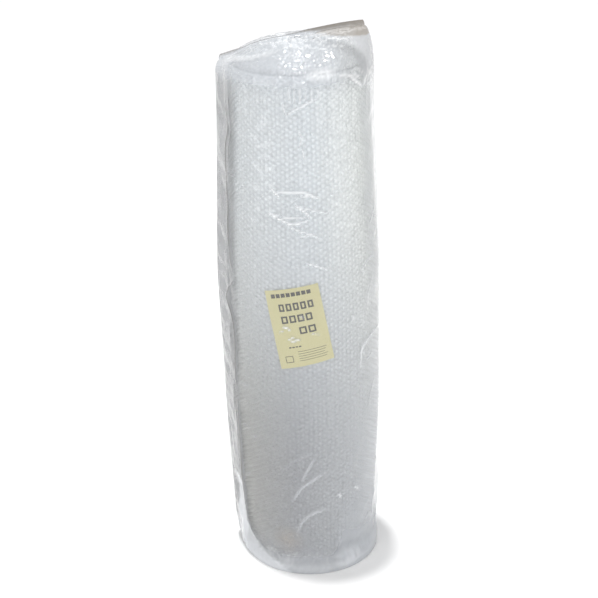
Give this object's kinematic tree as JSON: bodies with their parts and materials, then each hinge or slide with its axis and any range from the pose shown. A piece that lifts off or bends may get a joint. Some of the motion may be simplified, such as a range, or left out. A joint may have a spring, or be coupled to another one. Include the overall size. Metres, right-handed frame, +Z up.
{
  "type": "bubble wrap roll",
  "caption": "Tall coreless roll of clear bubble film standing on end in a sealed clear film bag, with a printed paper slip between the roll and the bag.",
  "frame": {"origin": "centre of the roll's foot, on the roll's axis, on the surface that it stands on", "axes": "+Z up along the roll's axis, -Y towards the front where the slip lies, +X to the right seen from the front"},
  "size_m": [0.365, 0.3602, 1.2338],
  "materials": {
    "bubble_film": "clear polyethylene bubble film, wound, milky in the mass",
    "bag_film": "thin clear polyethylene bag film, glossy and creased",
    "slip_paper": "pale yellow printed paper"
  },
  "bodies": {
    "root": {"bubble_roll": "bubble_film", "film_bag": "bag_film", "slip": "slip_paper"}
  },
  "joints": []
}
